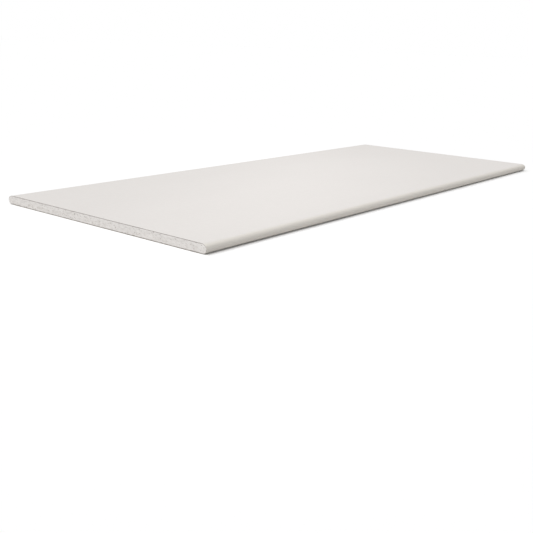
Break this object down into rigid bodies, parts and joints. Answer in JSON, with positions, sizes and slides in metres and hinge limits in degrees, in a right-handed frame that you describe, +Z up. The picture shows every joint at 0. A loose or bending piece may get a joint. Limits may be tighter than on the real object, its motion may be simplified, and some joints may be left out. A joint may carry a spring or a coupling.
{
  "type": "drywall sheet",
  "caption": "Flat paper-faced gypsum board with rounded, paper-wrapped long edges and square-cut ends that show the core, for lining walls, ceilings and shafts.",
  "frame": {"origin": "middle of the back face, on the floor that the sheet lies on", "axes": "+X across the sheet's width, +Y along its length, +Z up, out of the face that is finished"},
  "size_m": [0.625, 1.5, 0.02],
  "materials": {
    "gypsum": "matte, porous, sawn",
    "face_paper": "matte, calendered, off-white",
    "back_paper": "matte, recycled, grey-brown"
  },
  "bodies": {
    "root": {"gypsum_core": "gypsum", "face_paper": "face_paper", "back_paper": "back_paper"}
  },
  "joints": []
}
